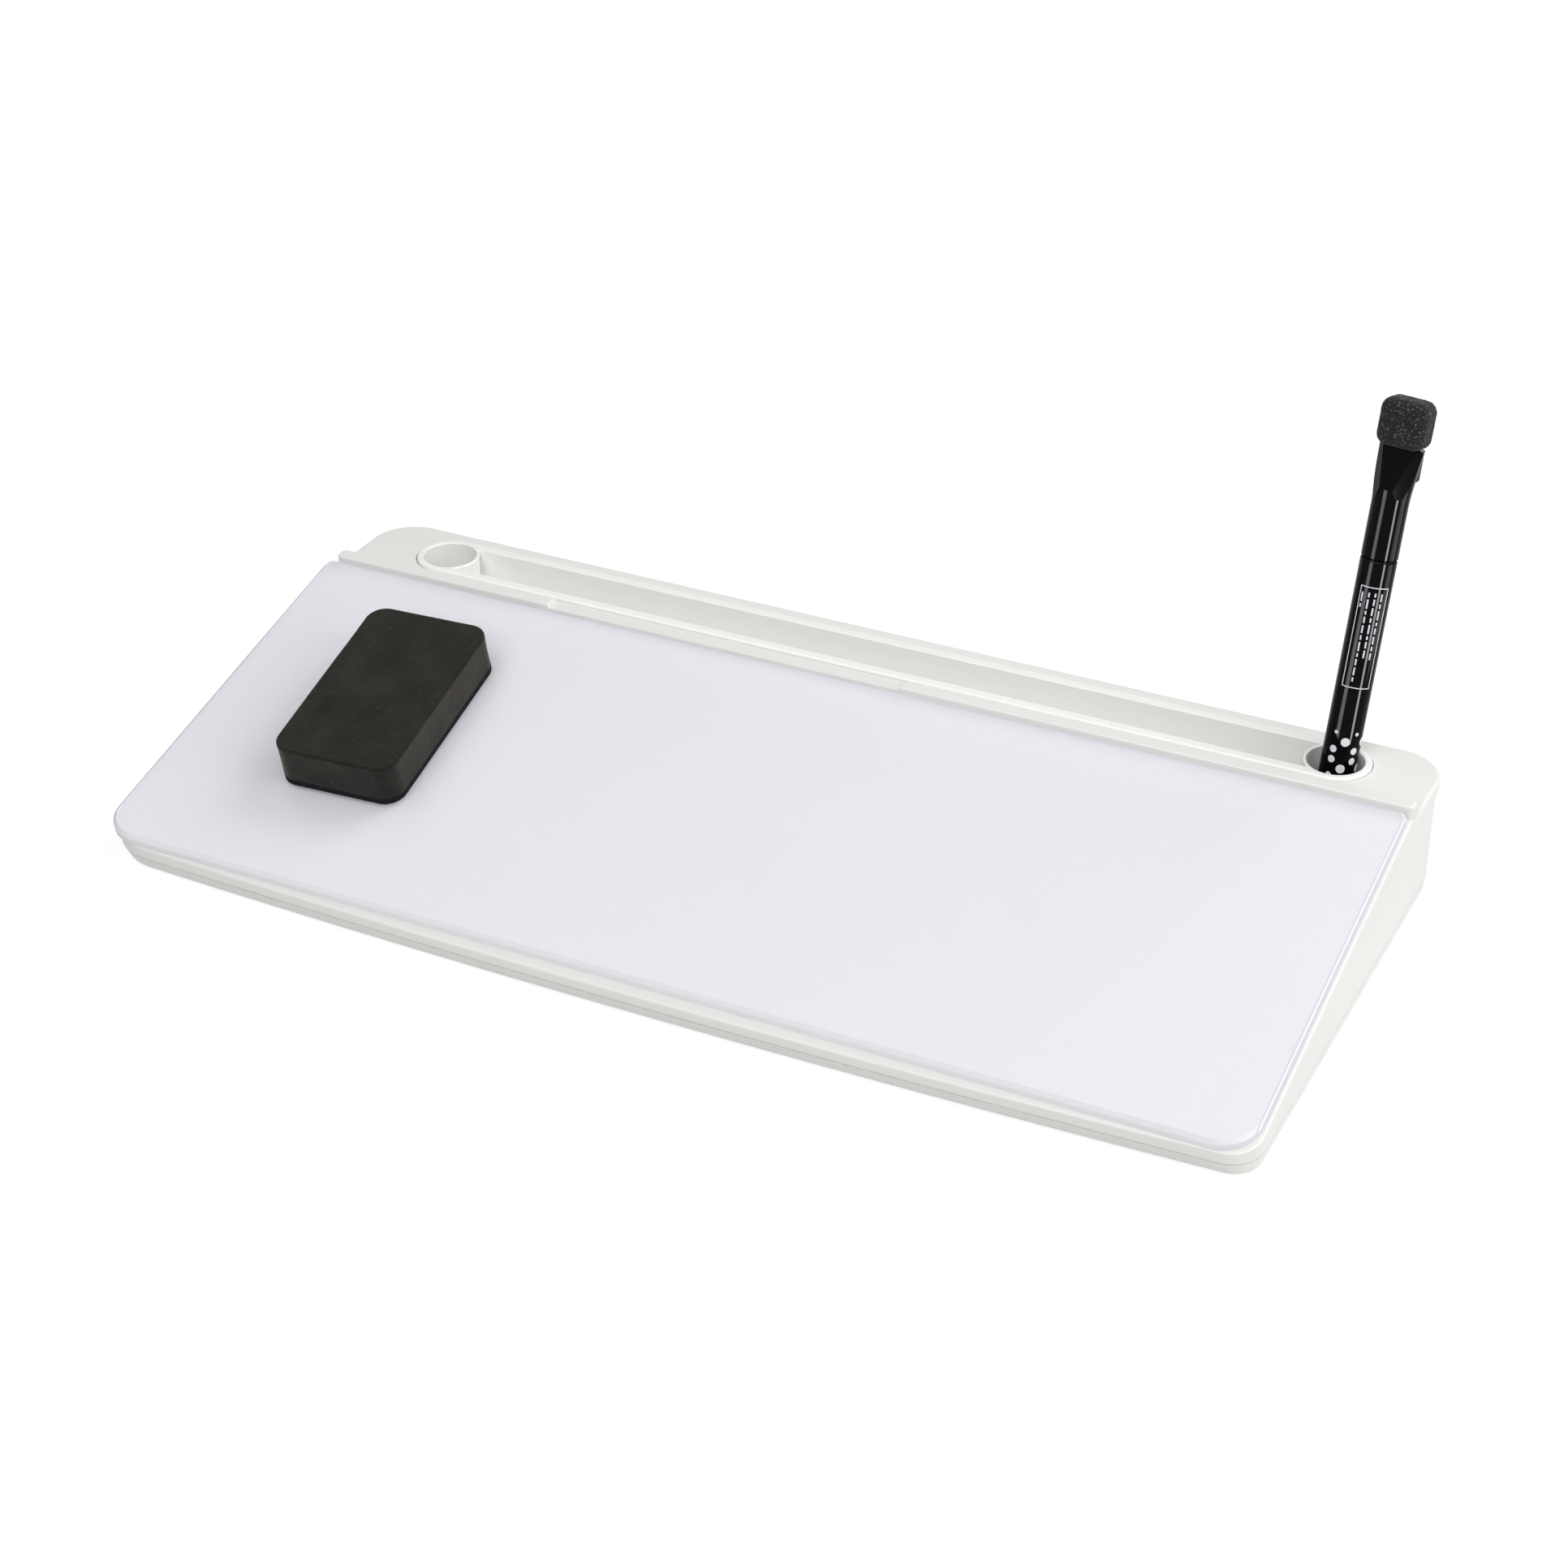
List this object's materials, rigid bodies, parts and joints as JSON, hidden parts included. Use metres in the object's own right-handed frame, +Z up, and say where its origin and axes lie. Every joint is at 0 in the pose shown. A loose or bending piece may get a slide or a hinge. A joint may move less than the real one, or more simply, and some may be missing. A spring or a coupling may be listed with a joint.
{
  "type": "desktop glass whiteboard",
  "caption": "Low wedge-shaped desktop whiteboard with a sloping magnetic glass surface, a stop rail, a drop-in pen tray behind it, a capped marker standing in a cup and a foam eraser.",
  "frame": {"origin": "middle of the whole assembly's footprint, on the desk surface", "axes": "+X to the writer's right along the glass, +Y away from the writer towards the pen tray, +Z up"},
  "size_m": [0.402, 0.2122, 0.1582],
  "materials": {
    "case_plastic": "fine satin moulding",
    "foot_rubber": "matt",
    "screw_steel": "plated",
    "board_glass": "polished, coated white on the back",
    "white_coat": "fired white coat",
    "sheet_steel": "galvanised",
    "foam_tape": "closed-cell foam tape",
    "marker_plastic": "gloss",
    "ink_fibre": "felted fibre",
    "seal_rubber": "soft",
    "magnet_metal": "plated",
    "eraser_eva": "fine closed-cell foam",
    "wipe_felt": "pressed felt"
  },
  "bodies": {
    "base": {"bottom_cover": "case_plastic", "top_shell": "case_plastic", "rubber_feet": "foot_rubber", "case_screws": "screw_steel", "glass_panel": "board_glass", "white_backing": "white_coat", "steel_sheet": "sheet_steel", "mounting_tape": "foam_tape"},
    "tray": {"tray_insert": "case_plastic"},
    "marker": {"marker_barrel": "marker_plastic", "marker_end_plug": "marker_plastic", "ink_reservoir": "ink_fibre", "nib_section": "marker_plastic", "marker_nib": "ink_fibre"},
    "cap": {"cap_shell": "marker_plastic", "cap_seal": "seal_rubber", "cap_magnet": "magnet_metal", "magnet_plate": "marker_plastic", "cap_foam": "eraser_eva"},
    "eraser": {"eraser_foam": "eraser_eva", "eraser_felt": "wipe_felt", "eraser_magnets": "magnet_metal"}
  },
  "joints": [
    {"name": "tray_lift", "type": "slide", "parent": "base", "child": "tray", "axis": [0, 0, 1], "range_m": [0, 0.05]},
    {"name": "marker_pull", "type": "slide", "parent": "tray", "child": "marker", "axis": [0.0342, 0.2223, 0.9744], "range_m": [0, 0.06]},
    {"name": "cap_pull", "type": "slide", "parent": "marker", "child": "cap", "axis": [0.0342, 0.2223, 0.9744], "range_m": [0, 0.035]},
    {"name": "eraser_wipe", "type": "slide", "parent": "base", "child": "eraser", "axis": [1, 0, 0], "range_m": [-0.038, 0.3]}
  ]
}
